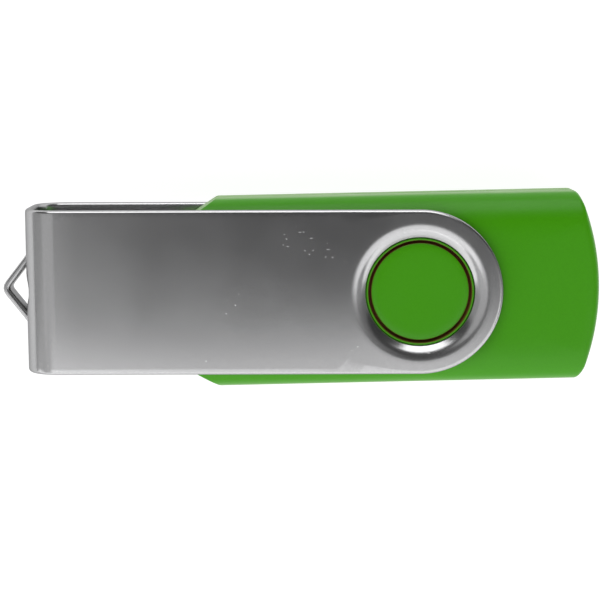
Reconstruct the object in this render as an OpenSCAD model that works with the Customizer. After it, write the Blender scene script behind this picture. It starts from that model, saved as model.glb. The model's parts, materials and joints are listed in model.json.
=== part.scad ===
// Swivel USB flash drive, closed and lying flat.
// A bent metal clip covers the plug and turns on two round bosses, one on each face of the housing.
// +Z is up and +X runs from the plug to the curved tail. The origin is under the middle of the
// drive's length, on the surface that it lies on. All sizes are in millimetres.

/* [Housing] */
// Width of the plastic housing
housing_width = 19.2; // [18:0.2:24]
// Thickness of the plastic housing, over both halves
housing_height = 8.8; // [8.6:0.1:12]
// Thickness of the housing's walls
housing_wall = 1.2; // [1:0.05:1.5]
// From the swivel axis to the housing's mouth, where the plug comes out
mouth_reach = 24.5; // [24:0.5:32]
// From the swivel axis to the middle of the curved tail
tail_reach = 18.1; // [18:0.1:26]
// Radius of the curved tail, seen from above
tail_radius = 24; // [15:0.5:40]
// Radius of the tail's two corners, seen from above
tail_corner = 0.6; // [0.5:0.1:2]
// Radius of the rounding along the tail's upper and lower edges
tail_edge = 0.9; // [0.4:0.1:1.2]
// Radius of the rounding along the housing's long edges
side_round = 2.6; // [1.6:0.1:3]
// Width of the flat mouth
mouth_width = 13.6; // [13.2:0.2:16]
// Length over which the housing narrows to its mouth
mouth_taper = 4.2; // [3:0.2:6]
// Height of the lip on the lower half, which the upper half fits over
lip_height = 0.6; // [0.4:0.1:0.8]
// Gap all round between the lip and the upper half
lip_gap = 0.05; // [0.02:0.01:0.1]

/* [Swivel] */
// Radius of the round face that shows in the clip's hole
boss_radius = 4.85; // [4:0.05:5.6]
// Radius of the neck under that face, which the clip's hole turns on
neck_radius = 5.4; // [4.4:0.02:6.3]
// Radial running clearance between the neck and the hole
swivel_clearance = 0.08; // [0.02:0.01:0.1]
// Depth of the boss's face below the clip's outer face
boss_sink = 0.85; // [0.7:0.05:0.9]
// Rounding of the edge of the boss's face
boss_edge = 0.25; // [0.1:0.05:0.3]
// Thickness of the plastic under the recess around the boss
hub_floor = 1; // [0.8:0.05:1.1]
// Angle at which the clip is left, seen from above
clip_turn = -1.1; // [-2:0.1:2]

/* [Clip] */
// Thickness of the clip's sheet metal
sheet = 0.7; // [0.6:0.05:0.9]
// Width of the clip
clip_width = 16.6; // [15.6:0.1:19]
// Gap between each arm of the clip and the housing
arm_gap = 0.4; // [0.3:0.05:0.6]
// Outer radius of the two bends at the closed end
bend_radius = 3.3; // [2:0.1:4]
// Gap between the plug's tip and the closed end
tip_gap = 2.5; // [1:0.1:4]
// Depth of the dish pressed around each hole
dish_depth = 1; // [0.9:0.05:1.1]
// Radial width of the dish's sloping side
dish_width = 1.1; // [0.8:0.05:1.4]
// Radial width of the flat land around the hole
dish_land = 0.35; // [0.2:0.05:0.5]
// Thickness of the pressed metal at the hole
land_thickness = 0.6; // [0.5:0.05:0.7]
// Gap between the pressed metal and the recess's floor
land_gap = 0.25; // [0.2:0.05:0.3]

/* [Key loop] */
// How far the key loop stands out from the closed end
loop_reach = 2.6; // [2:0.1:5]
// Half the distance between the loop's two roots
loop_half_span = 3.7; // [2.8:0.1:5]
// Width of the loop's strip, across the closed end
loop_width = 2.6; // [1.6:0.1:3.4]
// Thickness of the loop's strip
loop_thickness = 0.6; // [0.5:0.05:0.8]
// Outer radius of the loop's tip
loop_tip_radius = 1.1; // [0.9:0.05:1.6]
// Gap sheared along each side of the strip
shear_gap = 0.1; // [0.05:0.05:0.3]

/* [Plug] */
// Length of the plug outside the housing
plug_exposed = 12; // [11.75:0.05:13]
// Whole length of the plug's metal shell
plug_length = 16.5; // [15.5:0.1:18]
// Width of the plug
plug_width = 12; // [11.9:0.05:12.1]
// Thickness of the plug
plug_height = 4.5; // [4.4:0.05:4.6]
// Thickness of the plug's metal shell
plug_sheet = 0.3; // [0.25:0.05:0.35]
// Outer radius of the plug's long edges
plug_round = 0.6; // [0.5:0.05:1]
// Gap between the plug and the edges of the housing's mouth
mouth_gap = 0.05; // [0.02:0.01:0.2]
// Size of each latch window along the plug
window_length = 2; // [1.8:0.1:2.2]
// Size of each latch window across the plug
window_width = 2.5; // [2.3:0.1:2.6]
// From the plug's tip to the middle of each latch window
window_reach = 5.16; // [5:0.02:5.4]
// From the plug's middle to the middle of each latch window
window_offset = 2.85; // [2.7:0.05:3]
// Depth of the plug's open cavity
cavity_depth = 9.2; // [8.8:0.1:9.6]
// Set-back of the tongue from the plug's tip
tongue_setback = 0.4; // [0.2:0.1:0.8]
// Gap between the insulator and the shell
insulator_gap = 0.05; // [0.02:0.01:0.1]
// Length of the two solder tabs on the plug's shell
tab_length = 2.2; // [1.5:0.1:2.4]
// Height of the two solder tabs
tab_height = 1.8; // [1.2:0.1:2.4]

/* [Contacts] */
// Width of each contact
contact_width = 1; // [0.9:0.05:1.1]
// Thickness of each contact
contact_thickness = 0.2; // [0.15:0.01:0.25]
// From the plug's middle to each outer contact, power and ground
outer_offset = 3.5; // [3.4:0.05:3.6]
// From the plug's middle to each inner contact, the two data lines
inner_offset = 1; // [0.9:0.05:1.1]
// Length of the outer contacts inside the cavity
outer_length = 7.4; // [7:0.1:7.8]
// Length of the inner contacts inside the cavity
inner_length = 6.4; // [6:0.1:6.8]
// How far the contacts stand above the tongue
contact_rise = 0.05; // [0.02:0.01:0.1]
// Depth of each contact's turned-down front end
toe_depth = 0.8; // [0.4:0.1:1.2]
// Length of the contacts' tails on the circuit board
tail_length = 2.3; // [1.8:0.1:2.6]

/* [Circuit board] */
// Thickness of the circuit board
board_thickness = 0.8; // [0.6:0.1:1]
// Gap between the board's sides and the housing's walls
board_side_gap = 1; // [0.8:0.1:1.4]
// Room behind the board, inside the tail
board_tail_gap = 5.2; // [4.6:0.1:8]
// Length of the board's narrow front
neck_length = 3.4; // [3.2:0.1:4]
// Gap between the board and the plug's shell and tabs
board_gap = 0.1; // [0.05:0.05:0.2]
// Radius of the locating pins in the lower half
pin_radius = 0.5; // [0.4:0.05:0.6]
// Radial clearance of the locating pins
pin_clearance = 0.05; // [0.03:0.01:0.1]
// Height of the locating pins above the parting plane
pin_height = 1.4; // [1:0.1:1.8]
// Outer radius of the posts and sockets around the pins
post_radius = 1; // [0.9:0.05:1.1]
// Width of the ribs that hold the board
rib_width = 1.8; // [1:0.1:2.4]
// How far the ribs reach over the board
rib_overlap = 0.6; // [0.3:0.1:0.8]

/* [Chips] */
// Length of the memory chip's body
flash_length = 18.4; // [18.3:0.05:18.5]
// Width of the memory chip's body
flash_width = 12; // [11.9:0.05:12.1]
// Thickness of the memory chip's body
flash_height = 1; // [0.95:0.05:1.05]
// Leads along each end of the memory chip
flash_leads = 24; // [4:2:24]
// Side of the controller's body
controller_side = 7; // [6.9:0.05:7.1]
// Thickness of the controller's body
controller_height = 1.3; // [1:0.05:1.35]
// Leads along each side of the controller
controller_leads = 12; // [4:2:12]
// Distance between the middles of neighbouring leads
lead_pitch = 0.5; // [0.48:0.01:0.52]
// Width of each lead
lead_width = 0.22; // [0.18:0.01:0.27]
// Thickness of each lead
lead_thickness = 0.15; // [0.1:0.01:0.18]
// Height of each chip's body above the board
stand_off = 0.1; // [0.05:0.01:0.15]

/* [Hidden] */
$fn = 64;

// Cuts run past the solid that they cut by this much
past = 1;

// Clip, measured from the swivel axis and from the mid-plane between its arms
gap_half = housing_height / 2 + arm_gap;
clip_half = gap_half + sheet;
clip_reach = mouth_reach + plug_exposed + tip_gap + sheet;
hole_radius = neck_radius + swivel_clearance;
land_top = clip_half - dish_depth;
land_bottom = land_top - land_thickness;
land_radius = hole_radius + dish_land;
dish_radius = land_radius + dish_width;
// The underside of the dish is wider than its upper side by the sheet's slope
under_shift = sheet * 0.75;

// Where the swivel frame stands in the drive's own frame
swivel_x = (clip_reach + loop_reach - tail_reach) / 2;
mid_height = clip_half;

// Housing, in the swivel frame
taper_angle = atan2((housing_width - mouth_width) / 2, mouth_taper);
tail_centre = tail_reach - tail_radius;
recess_floor = land_bottom - land_gap;
recess_radius = dish_radius + under_shift + 0.4;
hub_ceiling = recess_floor - hub_floor;
boss_top = clip_half - boss_sink;
neck_top = land_top - 0.25;

// Plug, in the swivel frame
plug_tip = -mouth_reach - plug_exposed;
plug_rear = plug_tip + plug_length;
block_front = plug_tip + cavity_depth;
block_rear = plug_rear - 0.8;
contact_bottom = -contact_thickness;
tongue_top = -contact_rise;
insulator_half_width = plug_width / 2 - plug_sheet - insulator_gap;
insulator_half_height = plug_height / 2 - plug_sheet - insulator_gap;
insulator_round = plug_round - plug_sheet;

// Circuit board, in the swivel frame
board_top = contact_bottom;
board_bottom = board_top - board_thickness;
board_front = plug_rear + board_gap;
board_shoulder = board_front + neck_length;
board_rear = tail_reach - housing_wall - board_tail_gap;
board_half = housing_width / 2 - housing_wall - board_side_gap;
neck_half = plug_width / 2 - plug_sheet - board_gap;
// The front posts are let into the walls a little
post_y = housing_width / 2 - housing_wall - post_radius + 0.2;
front_post_x = board_shoulder - board_gap * 3 - post_radius;
rear_post_x = board_rear + board_gap * 3 + post_radius;
rear_post_y = 5.5;
post_places = [
    [front_post_x, post_y], [front_post_x, -post_y],
    [rear_post_x, rear_post_y], [rear_post_x, -rear_post_y]
];
rib_places = [board_shoulder + 2, board_rear - 3];

// Leads: how far they reach out from a chip, and the length of the foot that is soldered down
lead_reach = 0.8;
foot_length = 0.45;
lead_shoulder = 0.3;
// Where the chips stand on the board
flash_x = board_shoulder + 4.4 + flash_length / 2;
controller_x = board_shoulder + 7;
crystal_x = controller_x + 8.6;

// Small parts
crystal_size = [5, 3.2, 0.7];
crystal_lid_size = [4.4, 2.6, 0.3];
led_size = [2, 1.25, 0.35];
led_lens_size = [1.2, 1.25, 0.45];
led_x = board_rear - 1.6;
small_length = 1.6;
small_width = 0.8;
cap_end = 0.3;
resistor_height = 0.45;
capacitor_height = 0.8;
// Each place is [x, y, side of the board (1 upper, -1 lower), turn in degrees]
resistor_places = [
    [board_shoulder + 1, 2.6, 1, 0],
    [board_shoulder + 1, 0.2, 1, 0],
    [board_rear - 1.6, 3.4, 1, 90],
    [crystal_x, 3.6, -1, 0]
];
capacitor_places = [
    [board_shoulder + 1, -3.4, 1, 90],
    [board_rear - 1.6, -3.4, 1, 90],
    [crystal_x - 0.9, -3.2, -1, 90],
    [crystal_x + 0.9, -3.2, -1, 90],
    [board_rear - 3, 2, -1, 90],
    [board_rear - 3, -2, -1, 90]
];

// ---------------------------------------------------------------- shared shapes

// Moves a piece from the swivel frame to the drive's own frame
module placed() {
    translate([swivel_x, 0, mid_height]) children();
}

// A rectangle with round corners, about its own middle
module round_rectangle(width, height, radius) {
    square([width - 2 * radius, height], center = true);
    square([width, height - 2 * radius], center = true);
    for (x = [-1, 1], y = [-1, 1]) {
        translate([x * (width / 2 - radius), y * (height / 2 - radius)]) circle(radius);
    }
}

// A bar along X from one x to another, with a flat outline drawn in Y and Z
module bar_along_x(from, to) {
    translate([from, 0, 0]) rotate([90, 0, 90]) linear_extrude(to - from) children();
}

// A box from one corner to the opposite one
module box(low, high) {
    translate(low) cube(high - low);
}

// ---------------------------------------------------------------- clip

// The closed end of the clip, drawn in X and Z, with the arms open towards +X
module clip_side(reach, half_height, radius) {
    arm_end = clip_width;
    translate([radius - reach, -half_height]) square([reach - radius + arm_end, 2 * half_height]);
    translate([-reach, radius - half_height]) square([radius + past, 2 * (half_height - radius)]);
    for (z = [-1, 1]) {
        translate([radius - reach, z * (half_height - radius)]) circle(radius);
    }
}

// The clip's outline from above: straight sides and a half-round end about the swivel axis
module clip_plan() {
    translate([-clip_reach - past, -clip_width / 2]) square([clip_reach + past, clip_width]);
    circle(d = clip_width);
}

// The metal pressed down around the upper hole, before the dish and the hole are cut
module dish_underside() {
    rotate_extrude() polygon([
        [0, land_bottom],
        [land_radius + under_shift, land_bottom],
        [dish_radius + under_shift, gap_half],
        [dish_radius + under_shift, gap_half + sheet / 2],
        [0, gap_half + sheet / 2]
    ]);
}

// The hollow of the dish above its land
module dish_cut() {
    rise = dish_depth / dish_width;
    rotate_extrude() polygon([
        [0, land_top],
        [land_radius, land_top],
        [dish_radius, clip_half],
        [dish_radius + past / rise, clip_half + past],
        [0, clip_half + past]
    ]);
}

// Point where the tangent from a root at (0, half_span) meets the circle at the loop's tip
function tip_tangent(reach, half_span, radius) =
    let (centre = reach - radius)
    let (to_root = atan2(half_span, centre))
    let (turn = to_root + acos(radius / norm([centre, half_span])))
    [-centre + radius * cos(turn), radius * sin(turn)];

// Half the span of the loop's inner edge, which runs parallel to the outer edge
function inner_span(reach, half_span, radius, thickness) =
    let (tangent = tip_tangent(reach, half_span, radius))
    let (leg = [0, half_span] - tangent)
    half_span - thickness * norm(leg) / leg[0];

// A wedge with a round tip at x = -reach, which runs on past x = 0 to x = depth
module wedge(reach, half_span, radius, depth) {
    tangent = tip_tangent(reach, half_span, radius);
    slope = (half_span - tangent[1]) / -tangent[0];
    polygon([
        [depth, half_span + slope * depth],
        tangent,
        [tangent[0], -tangent[1]],
        [depth, -half_span - slope * depth]
    ]);
    translate([radius - reach, 0]) circle(radius);
}

// The bent strip of the key loop, seen from above, with its roots inside the sheet
module loop_strip() {
    span = inner_span(loop_reach, loop_half_span, loop_tip_radius, loop_thickness);
    inner_reach = loop_reach - loop_thickness;
    inner_radius = loop_tip_radius - loop_thickness;
    translate([-clip_reach, 0]) difference() {
        wedge(loop_reach, loop_half_span, loop_tip_radius, sheet);
        wedge(inner_reach, span, inner_radius, sheet + past);
    }
}

// The hole that the strip leaves in the closed end
module loop_window() {
    span = inner_span(loop_reach, loop_half_span, loop_tip_radius, loop_thickness);
    half_length = span + loop_thickness / 2;
    half_width = loop_width / 2 + shear_gap;
    box([-clip_reach - past, -half_length, -half_width],
        [-clip_reach + sheet + past, half_length, half_width]);
}

module swivel_clip() {
    color("silver")
    placed()
    rotate([0, 0, clip_turn]) {
        difference() {
            union() {
                intersection() {
                    linear_extrude(2 * clip_half + 2 * past, center = true) clip_plan();
                    rotate([90, 0, 0]) linear_extrude(clip_width + 2 * past, center = true)
                    difference() {
                        clip_side(clip_reach, clip_half, bend_radius);
                        clip_side(clip_reach - sheet, gap_half, bend_radius - sheet);
                        translate([0, -gap_half]) square([clip_width + past, 2 * gap_half]);
                    }
                }
                dish_underside();
                mirror([0, 0, 1]) dish_underside();
            }
            dish_cut();
            mirror([0, 0, 1]) dish_cut();
            cylinder(r = hole_radius, h = 2 * clip_half, center = true);
            loop_window();
        }
        linear_extrude(loop_width, center = true) loop_strip();
    }
}

// ---------------------------------------------------------------- housing

// Corner where the housing's side starts to narrow, for an outline moved inwards by inset
function shoulder_point(inset) =
    [mouth_taper - mouth_reach + inset * tan(taper_angle / 2), housing_width / 2 - inset];

// Corner where the narrowed side meets the mouth
function mouth_point(inset) =
    [inset - mouth_reach, mouth_width / 2 - inset * tan(45 - taper_angle / 2)];

// The housing's outline from above, moved inwards by inset
module housing_plan(inset) {
    half = housing_width / 2 - inset;
    arc = tail_radius - inset;
    corner = max(tail_corner - inset, 0.3);
    corner_x = tail_centre + sqrt(pow(arc - corner, 2) - pow(half - corner, 2));
    // The tail's arc shows between two rays through the corners' middles, which run well past it
    ray = 3;
    wedge_x = tail_centre + (corner_x - tail_centre) * ray;
    wedge_y = (half - corner) * ray;
    shoulder = shoulder_point(inset);
    mouth = mouth_point(inset);
    polygon([
        [corner_x, half], shoulder, mouth,
        [mouth[0], -mouth[1]], [shoulder[0], -shoulder[1]], [corner_x, -half]
    ]);
    for (y = [-1, 1]) {
        translate([corner_x, y * (half - corner)]) circle(corner);
    }
    intersection() {
        translate([tail_centre, 0]) circle(arc, $fn = 256);
        polygon([[tail_centre, 0], [wedge_x, wedge_y], [wedge_x, -wedge_y]]);
    }
}

// The housing's whole volume, moved inwards by inset
module housing_volume(inset) {
    intersection() {
        linear_extrude(housing_height, center = true) housing_plan(inset);
        bar_along_x(-mouth_reach - past, tail_reach + past)
            round_rectangle(housing_width - 2 * inset, housing_height - 2 * inset, side_round - inset);
    }
}

// The housing's outer volume, with the tail's edges rounded
module housing_outside() {
    half = housing_height / 2;
    intersection() {
        housing_volume(0);
        union() {
            translate([tail_centre, 0, 0]) rotate_extrude($fn = 256) {
                translate([0, -half]) square([tail_radius - tail_edge, 2 * half]);
                translate([0, tail_edge - half]) square([tail_radius, 2 * (half - tail_edge)]);
                for (z = [-1, 1]) {
                    translate([tail_radius - tail_edge, z * (half - tail_edge)]) circle(tail_edge);
                }
            }
            box([-mouth_reach - past, -housing_width, -housing_height], [0, housing_width, housing_height]);
        }
    }
}

// Everything above the parting plane
module upper_side() {
    box([-mouth_reach - past, -housing_width, 0], [tail_reach + past, housing_width, housing_height]);
}

// The ribs that hold the board, from the board's face to the housing's wall
module board_ribs(board_face) {
    intersection() {
        housing_volume(housing_wall / 2);
        for (x = rib_places, y = [-1, 1]) {
            scale([1, y, 1])
            box([x - rib_width / 2, board_half - rib_overlap, board_face],
                [x + rib_width / 2, housing_width / 2, housing_height]);
        }
    }
}

// The opening for the plug
module plug_opening() {
    bar_along_x(-mouth_reach - past, plug_rear)
        round_rectangle(plug_width + 2 * mouth_gap, plug_height + 2 * mouth_gap, plug_round + mouth_gap);
}

// The boss that the clip turns on: a neck, and a narrower face with a rounded edge
module boss() {
    translate([0, 0, recess_floor - hub_floor / 2])
        cylinder(r = neck_radius, h = neck_top - recess_floor + hub_floor / 2);
    rotate_extrude() {
        translate([0, recess_floor]) square([boss_radius, boss_top - boss_edge - recess_floor]);
        translate([0, recess_floor]) square([boss_radius - boss_edge, boss_top - recess_floor]);
        translate([boss_radius - boss_edge, boss_top - boss_edge]) circle(boss_edge, $fn = 32);
    }
}

// One half of the housing without its lip, posts and ribs, seen as the upper one
module housing_half() {
    difference() {
        intersection() {
            upper_side();
            housing_outside();
            union() {
                difference() {
                    upper_side();
                    housing_volume(housing_wall);
                }
                translate([0, 0, hub_ceiling])
                    cylinder(r = recess_radius + housing_wall, h = housing_height);
            }
        }
        translate([0, 0, recess_floor]) cylinder(r = recess_radius, h = housing_height);
    }
    boss();
}

// Height of the ceiling over the posts
post_ceiling = housing_height / 2 - housing_wall / 2;

module upper_housing() {
    color([0.28, 0.6, 0.09])
    placed()
    difference() {
        union() {
            housing_half();
            board_ribs(board_top);
            for (place = post_places) {
                translate([place[0], place[1], 0]) cylinder(r = post_radius, h = post_ceiling);
            }
        }
        for (place = post_places) {
            translate([place[0], place[1], -past])
                cylinder(r = pin_radius + pin_clearance, h = pin_height + pin_clearance + past);
        }
        linear_extrude(2 * (lip_height + lip_gap), center = true) difference() {
            housing_plan(housing_wall / 2 - lip_gap);
            housing_plan(housing_wall + lip_gap);
        }
        plug_opening();
    }
}

module lower_housing() {
    color([0.27, 0.58, 0.08])
    placed()
    difference() {
        union() {
            mirror([0, 0, 1]) housing_half();
            mirror([0, 0, 1]) board_ribs(-board_bottom);
            linear_extrude(2 * lip_height, center = true) difference() {
                housing_plan(housing_wall / 2);
                housing_plan(housing_wall);
            }
            for (place = post_places) {
                translate([place[0], place[1], -post_ceiling]) {
                    cylinder(r = post_radius, h = post_ceiling);
                    cylinder(r = pin_radius, h = post_ceiling + pin_height);
                }
            }
        }
        plug_opening();
    }
}

// ---------------------------------------------------------------- plug

module plug_shell() {
    inner_width = plug_width - 2 * plug_sheet;
    inner_height = plug_height - 2 * plug_sheet;
    color([0.78, 0.79, 0.8])
    placed() {
        difference() {
            bar_along_x(plug_tip, plug_rear) round_rectangle(plug_width, plug_height, plug_round);
            bar_along_x(plug_tip - past, plug_rear + past)
                round_rectangle(inner_width, inner_height, plug_round - plug_sheet);
            for (y = [-1, 1]) {
                translate([plug_tip + window_reach, y * window_offset, 0])
                    cube([window_length, window_width, plug_height + past], center = true);
            }
        }
        for (y = [-1, 1]) {
            scale([1, y, 1])
            box([plug_rear - plug_sheet, inner_width / 2, -tab_height / 2],
                [plug_rear + tab_length, plug_width / 2, tab_height / 2]);
        }
    }
}

// The slot that one contact lies in, along the tongue and through the block behind it
module contact_slot(offset, front) {
    half = contact_width / 2 + insulator_gap;
    box([front - insulator_gap, offset - half, contact_bottom],
        [block_rear + past, offset + half, insulator_gap]);
    box([front - insulator_gap, offset - half, contact_bottom - toe_depth - insulator_gap],
        [front + contact_thickness + insulator_gap, offset + half, insulator_gap]);
}

module plug_insulator() {
    color([0.93, 0.93, 0.9])
    placed()
    difference() {
        bar_along_x(plug_tip + tongue_setback, block_rear)
            round_rectangle(2 * insulator_half_width, 2 * insulator_half_height, insulator_round);
        box([plug_tip, -plug_width, tongue_top], [block_front, plug_width, plug_height]);
        for (y = [-1, 1]) {
            contact_slot(y * outer_offset, block_front - outer_length);
            contact_slot(y * inner_offset, block_front - inner_length);
        }
    }
}

// One contact: a strip with a turned-down front end, its tail resting on the circuit board
module contact(offset, length) {
    front = block_front - length;
    half = contact_width / 2;
    color([0.85, 0.68, 0.3])
    placed() {
        box([front, offset - half, contact_bottom], [board_front + tail_length, offset + half, 0]);
        box([front, offset - half, contact_bottom - toe_depth],
            [front + contact_thickness, offset + half, 0]);
    }
}

module power_contact() {
    contact(-outer_offset, outer_length);
}

module data_minus_contact() {
    contact(-inner_offset, inner_length);
}

module data_plus_contact() {
    contact(inner_offset, inner_length);
}

module ground_contact() {
    contact(outer_offset, outer_length);
}

// ---------------------------------------------------------------- circuit board

module circuit_board() {
    color([0.05, 0.35, 0.2])
    placed()
    translate([0, 0, board_bottom])
    linear_extrude(board_thickness) {
        translate([board_front, -neck_half]) square([neck_length + past, 2 * neck_half]);
        translate([board_shoulder, -board_half]) square([board_rear - board_shoulder, 2 * board_half]);
    }
}

// A bead of solder on the board: a bar along X with a hollow slope on its upper side
module solder_bead(length, size) {
    rotate([90, 0, 90]) linear_extrude(length) difference() {
        square(size);
        translate([size, size]) circle(size * 0.9);
    }
}

module contact_solder_joints() {
    bead = contact_thickness;
    tail_end = board_front + tail_length;
    color([0.7, 0.71, 0.72])
    placed()
    for (offset = [-outer_offset, -inner_offset, inner_offset, outer_offset], y = [-1, 1]) {
        translate([tail_end - 1.2, offset + y * contact_width / 2, board_top])
            scale([1, y, 1]) solder_bead(1.2, bead);
    }
}

module plug_solder_joints() {
    bead = plug_sheet * 2;
    color([0.7, 0.71, 0.72])
    placed()
    for (y = [-1, 1]) {
        translate([board_front + board_gap, y * (neck_half + board_gap), board_top])
            scale([1, -y, 1]) solder_bead(tab_length - 3 * board_gap, bead);
    }
}

// A gull-wing lead that starts at a chip's side and runs out along +X to its foot on the board
module lead(height) {
    middle = stand_off + height / 2;
    half = lead_thickness / 2;
    rotate([90, 0, 0]) linear_extrude(lead_width, center = true) polygon([
        [0, middle + half],
        [lead_shoulder, middle + half],
        [lead_shoulder + lead_thickness, lead_thickness],
        [lead_reach, lead_thickness],
        [lead_reach, 0],
        [lead_shoulder, 0],
        [lead_shoulder - lead_thickness, middle - half],
        [0, middle - half]
    ]);
}

// A row of leads along Y, at x = half_body
module lead_row(count, half_body, height) {
    for (i = [0 : count - 1]) {
        translate([half_body, (i - (count - 1) / 2) * lead_pitch, 0]) lead(height);
    }
}

// The body of a chip, with its upper half drawn in a little
module chip_body(length, width, height) {
    step = 0.1;
    translate([-length / 2, -width / 2, stand_off]) cube([length, width, height * 0.6]);
    translate([step - length / 2, step - width / 2, stand_off])
        cube([length - 2 * step, width - 2 * step, height]);
}

// Stands pieces on the board's upper face (side = 1) or under its lower face (side = -1)
module on_board(x, y, side, turn = 0) {
    face = side > 0 ? board_top : board_bottom;
    placed()
    translate([x, y, face]) mirror([0, 0, side > 0 ? 0 : 1]) rotate([0, 0, turn]) children();
}

module flash_chip() {
    color([0.1, 0.1, 0.11]) on_board(flash_x, 0, 1) chip_body(flash_length, flash_width, flash_height);
}

module flash_chip_leads() {
    color([0.75, 0.75, 0.76])
    for (turn = [0, 180]) {
        on_board(flash_x, 0, 1, turn) lead_row(flash_leads, flash_length / 2, flash_height);
    }
}

module controller_chip() {
    color([0.1, 0.1, 0.11])
    on_board(controller_x, 0, -1) chip_body(controller_side, controller_side, controller_height);
}

module controller_chip_leads() {
    color([0.75, 0.75, 0.76])
    for (turn = [0 : 90 : 270]) {
        on_board(controller_x, 0, -1, turn) lead_row(controller_leads, controller_side / 2, controller_height);
    }
}

module crystal_base() {
    size = crystal_size;
    color([0.75, 0.7, 0.6])
    on_board(crystal_x, 0, -1)
    translate([-size[0] / 2, -size[1] / 2, 0]) cube(size);
}

module crystal_lid() {
    size = crystal_lid_size;
    color([0.8, 0.8, 0.8])
    on_board(crystal_x, 0, -1)
    translate([-size[0] / 2, -size[1] / 2, crystal_size[2]]) cube(size);
}

module led_base() {
    size = led_size;
    color([0.95, 0.94, 0.88])
    on_board(led_x, 0, 1, 90)
    translate([-size[0] / 2, -size[1] / 2, 0]) cube(size);
}

module led_lens() {
    size = led_lens_size;
    color([0.9, 0.92, 0.85])
    on_board(led_x, 0, 1, 90)
    translate([-size[0] / 2, -size[1] / 2, led_size[2]]) cube(size);
}

// The middle of a resistor or capacitor
module small_body(height) {
    length = small_length - 2 * cap_end;
    translate([-length / 2, -small_width / 2, 0]) cube([length, small_width, height]);
}

// The two soldered ends of a resistor or capacitor
module small_ends(height) {
    for (x = [-small_length / 2, small_length / 2 - cap_end]) {
        translate([x, -small_width / 2, 0]) cube([cap_end, small_width, height]);
    }
}

module resistors() {
    color([0.12, 0.12, 0.13])
    for (p = resistor_places) on_board(p[0], p[1], p[2], p[3]) small_body(resistor_height);
}

module resistor_terminals() {
    color([0.75, 0.75, 0.76])
    for (p = resistor_places) on_board(p[0], p[1], p[2], p[3]) small_ends(resistor_height);
}

module capacitors() {
    color([0.6, 0.47, 0.33])
    for (p = capacitor_places) on_board(p[0], p[1], p[2], p[3]) small_body(capacitor_height);
}

module capacitor_terminals() {
    color([0.75, 0.75, 0.76])
    for (p = capacitor_places) on_board(p[0], p[1], p[2], p[3]) small_ends(capacitor_height);
}

swivel_clip();
upper_housing();
lower_housing();
plug_shell();
plug_insulator();
power_contact();
data_minus_contact();
data_plus_contact();
ground_contact();
circuit_board();
contact_solder_joints();
plug_solder_joints();
flash_chip();
flash_chip_leads();
controller_chip();
controller_chip_leads();
crystal_base();
crystal_lid();
led_base();
led_lens();
resistors();
resistor_terminals();
capacitors();
capacitor_terminals();
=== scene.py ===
"""Looks of the swivel USB flash drive: a satin metal clip, a green housing and its plug."""

import json
import math

import bmesh
import bpy
import numpy as np
from mathutils import Matrix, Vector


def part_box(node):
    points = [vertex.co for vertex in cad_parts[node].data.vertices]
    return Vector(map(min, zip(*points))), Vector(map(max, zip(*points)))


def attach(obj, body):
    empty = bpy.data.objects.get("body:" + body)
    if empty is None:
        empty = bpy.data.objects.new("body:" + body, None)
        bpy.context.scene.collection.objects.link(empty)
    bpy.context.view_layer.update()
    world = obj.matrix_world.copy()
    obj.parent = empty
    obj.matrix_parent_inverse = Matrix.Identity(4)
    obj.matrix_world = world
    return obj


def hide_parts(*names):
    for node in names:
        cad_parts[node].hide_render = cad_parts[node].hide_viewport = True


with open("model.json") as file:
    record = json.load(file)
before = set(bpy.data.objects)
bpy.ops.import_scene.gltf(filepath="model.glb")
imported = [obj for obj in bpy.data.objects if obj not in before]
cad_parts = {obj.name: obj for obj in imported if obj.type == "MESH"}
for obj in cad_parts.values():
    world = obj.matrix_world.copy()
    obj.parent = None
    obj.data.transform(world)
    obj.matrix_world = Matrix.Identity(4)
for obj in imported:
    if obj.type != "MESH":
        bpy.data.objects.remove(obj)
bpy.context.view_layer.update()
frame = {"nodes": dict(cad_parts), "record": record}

bl_info = {
    "name": "Swivel flash drive",
    "version": (1, 0, 0),
    "blender": (4, 5, 0),
    "location": "3D View > Sidebar > Flash drive",
    "description": "Builds the looks of a swivel USB flash drive around its packed CAD model",
    "category": "Object",
}

MM = 0.001
SWIVEL = np.array(frame["record"]["behaviour"]["joints"][0]["pos_m"])
# Allowance for rounding where two places are compared, and the distance at which points merge
SLACK = 1e-6
MERGE = 1e-7


# -------------------- settings


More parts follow.
